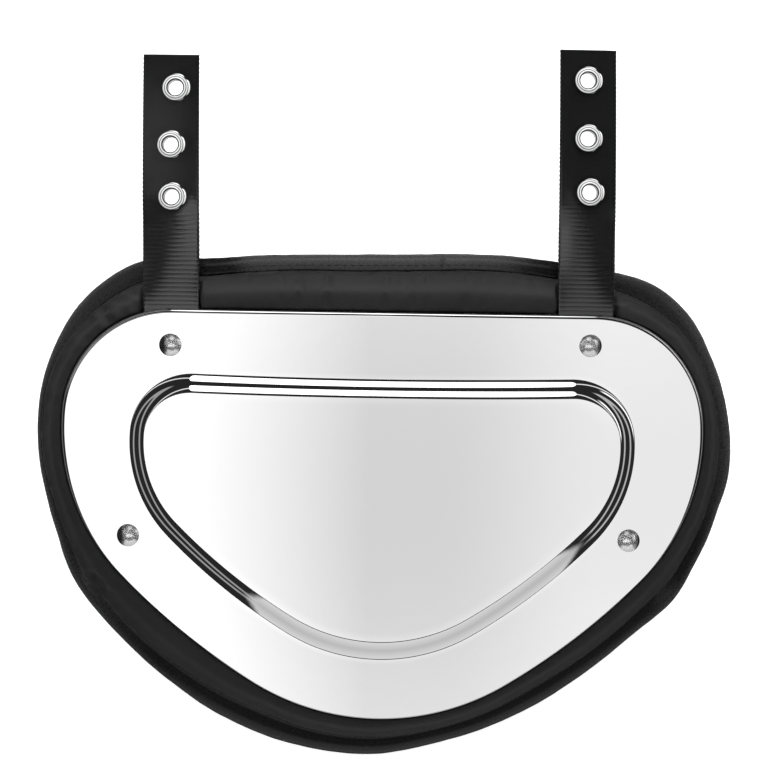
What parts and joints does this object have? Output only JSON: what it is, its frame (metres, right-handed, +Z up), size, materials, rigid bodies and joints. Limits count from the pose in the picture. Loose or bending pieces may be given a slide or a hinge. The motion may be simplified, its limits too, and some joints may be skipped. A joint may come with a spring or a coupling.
{
  "type": "football back plate",
  "caption": "Curved chromed back plate with a raised centre panel, riveted to a bound foam pad and to eyeleted webbing straps that hang it from a player's shoulder pads.",
  "frame": {"origin": "bottom centre of the whole part as it lies on its pad, shell up", "axes": "+Z up out of the shell's face, +Y along the straps towards their tips, +X to the wearer's right"},
  "size_m": [0.317, 0.3204, 0.034],
  "materials": {
    "shell": "mirror plating over moulded plastic",
    "cover": "smooth coated cloth",
    "tape": "woven binding tape",
    "webbing": "ribbed flat webbing",
    "eyelet": "bright nickel plate",
    "rivet": "satin"
  },
  "bodies": {
    "root": {"plate": "shell", "pad": "cover", "binding": "tape", "strap_left": "webbing", "strap_right": "webbing", "eyelet_left_1": "eyelet", "eyelet_left_2": "eyelet", "eyelet_left_3": "eyelet", "eyelet_right_1": "eyelet", "eyelet_right_2": "eyelet", "eyelet_right_3": "eyelet", "rivet_top_left": "rivet", "rivet_top_right": "rivet", "rivet_low_left": "rivet", "rivet_low_right": "rivet"}
  },
  "joints": []
}
